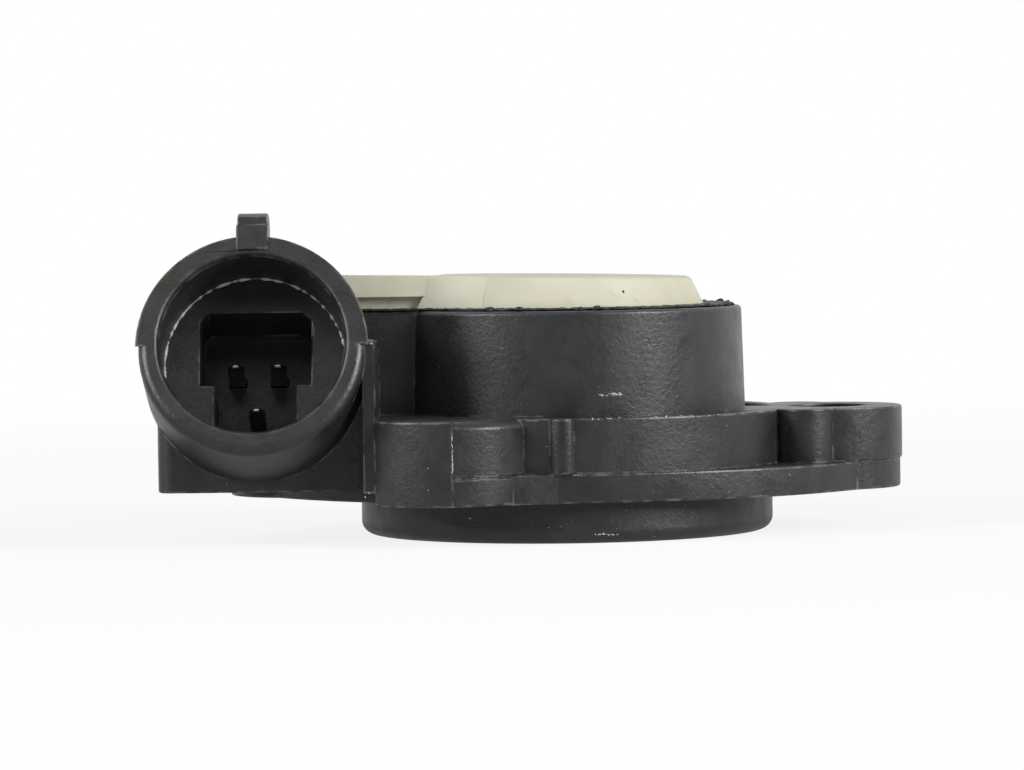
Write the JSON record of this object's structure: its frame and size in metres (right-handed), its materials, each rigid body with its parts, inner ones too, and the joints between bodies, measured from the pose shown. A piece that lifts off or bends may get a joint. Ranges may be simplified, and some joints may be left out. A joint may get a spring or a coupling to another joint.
{
  "type": "throttle position sensor",
  "caption": "Throttle position sensor: a moulded round body on an eared flange with a pilot boss, a round connector with blade terminals, a sealed cover and a sprung rotor.",
  "frame": {"origin": "on the rotor's axis at the mounting face, which is the flange's underside", "axes": "+Z along the rotor's axis towards the cover, +X from the connector to the right ear, and the connector's mouth opens towards -Y, tilted up"},
  "size_m": [0.0728, 0.047, 0.0313],
  "materials": {
    "black_plastic": "moulded, fine grain, matte",
    "cream_plastic": "moulded, satin",
    "sealing_compound": "cured, ragged edge",
    "rotor_plastic": "moulded, low friction",
    "tinned_brass": "stamped and tin plated, bright",
    "zinc_steel": "zinc plated, satin",
    "spring_steel": "drawn wire, oiled",
    "spring_bronze": "rolled strip, bright",
    "seal_rubber": "moulded, smooth",
    "board_laminate": "laminate, smooth",
    "carbon_ink": "screen printed, polished",
    "silver_ink": "screen printed"
  },
  "bodies": {
    "body": {"housing": "black_plastic", "cover": "cream_plastic", "cover_sealant": "sealing_compound", "terminal_a": "tinned_brass", "terminal_b": "tinned_brass", "terminal_c": "tinned_brass", "terminal_sealant": "sealing_compound", "mounting_sleeve_left": "zinc_steel", "mounting_sleeve_right": "zinc_steel", "return_spring": "spring_steel", "thrust_washer": "zinc_steel", "wave_washer": "spring_steel", "rotor_seal": "seal_rubber", "seal_retainer": "zinc_steel", "resistor_board": "board_laminate", "resistance_track": "carbon_ink", "collector_track": "carbon_ink", "board_traces": "silver_ink", "board_eyelets": "tinned_brass"},
    "rotor": {"rotor": "rotor_plastic", "drive_clip": "spring_bronze", "wiper_contact": "spring_bronze"}
  },
  "joints": [
    {"name": "rotor_turn", "type": "hinge", "parent": "body", "child": "rotor", "pos_m": [0, 0, 0], "axis": [0, 0, 1], "range_deg": [0, 100], "stiffness_Nm_per_rad": 0.01, "springref_deg": -34.38, "deforming": ["return_spring"]}
  ]
}
